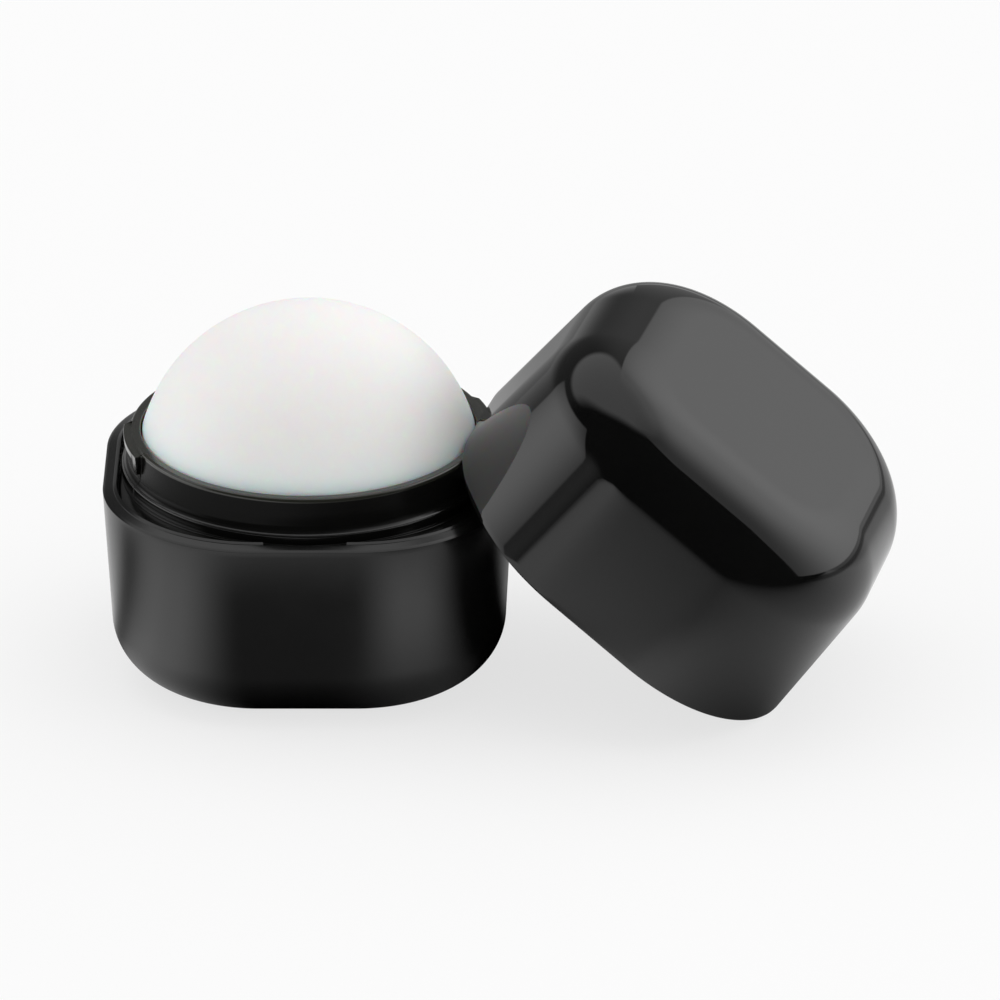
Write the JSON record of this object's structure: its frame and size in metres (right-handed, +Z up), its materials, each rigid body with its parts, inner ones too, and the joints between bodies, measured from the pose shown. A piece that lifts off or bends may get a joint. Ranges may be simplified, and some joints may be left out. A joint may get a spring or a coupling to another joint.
{
  "type": "lip balm cube",
  "caption": "Rounded cube lip balm, open: white balm dome in a black base with a neck ring and lugs, and a matching cap leaning on it.",
  "frame": {"origin": "middle of the base's flat underside, on the surface that the base and the cap's rim stand on", "axes": "+Z up along the base's axis, +X from the base towards the cap, -Y towards the front"},
  "size_m": [0.0737, 0.0437, 0.0353],
  "materials": {
    "casing_black": "glossy black moulded plastic",
    "insert_black": "satin black moulded plastic",
    "balm_white": "smooth matt white balm"
  },
  "bodies": {
    "base": {"base_shell": "casing_black", "neck_insert": "insert_black", "balm_anchor": "insert_black", "lip_balm": "balm_white"},
    "cap": {"cap_shell": "casing_black", "cap_liner": "insert_black"}
  },
  "joints": [
    {"name": "cap_lift", "type": "slide", "parent": "base", "child": "cap", "axis": [0.5969, -0.1532, 0.7876], "range_m": [0, 0.03]}
  ]
}
